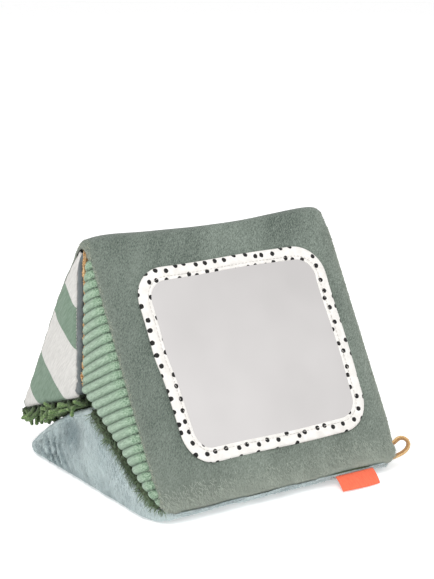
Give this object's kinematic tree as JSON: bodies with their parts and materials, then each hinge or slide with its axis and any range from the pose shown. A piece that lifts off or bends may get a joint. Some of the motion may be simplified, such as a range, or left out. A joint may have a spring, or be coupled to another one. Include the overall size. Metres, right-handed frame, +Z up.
{
  "type": "tummy time book",
  "caption": "Padded tent-shaped floor book for babies: soft wedges folded into a prism with a framed soft mirror, textured fabric sides, noodle mat, label tab and cord loop.",
  "frame": {"origin": "middle of the flat underside that the closed book rests on", "axes": "+X along the ridge towards the end with the cord loop, -Y towards the side with the mirror, +Z up"},
  "size_m": [0.2229, 0.2106, 0.1775],
  "materials": {
    "foam": "matte",
    "sage_plush": "short plush pile",
    "mint_corduroy": "wide ribbed plush",
    "tan_boucle": "nubby",
    "blue_plush": "short plush pile",
    "moss_shag": "long pile",
    "slate_satin": "satin",
    "striped_cotton": "woven, striped",
    "noodle_green": "chenille noodles",
    "dotted_cotton": "woven, dotted",
    "mirror_film": "mirror",
    "board": "matte",
    "orange_ribbon": "satin ribbon",
    "tan_cord": "cotton cord"
  },
  "bodies": {
    "base": {"base_cover": "blue_plush", "base_rear_page": "blue_plush", "base_front_page": "moss_shag", "base_core": "foam", "base_end_left": "blue_plush", "base_end_right": "blue_plush", "label_tab": "orange_ribbon"},
    "front": {"front_cover": "sage_plush", "front_lower_page": "sage_plush", "front_upper_page": "tan_boucle", "front_core": "foam", "front_end_left": "mint_corduroy", "front_end_right": "mint_corduroy", "mirror_backing": "board", "mirror_sheet": "mirror_film", "mirror_frame": "dotted_cotton", "cord_loop": "tan_cord", "ridge_band": "sage_plush"},
    "back": {"back_cover": "sage_plush", "back_front_page": "slate_satin", "noodle_page": "noodle_green", "back_core": "foam", "back_end_left": "striped_cotton", "back_end_right": "striped_cotton"}
  },
  "joints": [
    {"name": "front_fold", "type": "hinge", "parent": "base", "child": "front", "pos_m": [0, -0.097, 0.009], "axis": [1, 0, 0], "range_deg": [0, 120]},
    {"name": "ridge_fold", "type": "hinge", "parent": "front", "child": "back", "pos_m": [0, 0.00283, 0.17191], "axis": [1, 0, 0], "range_deg": [0, 116], "deforming": ["ridge_band"]}
  ]
}
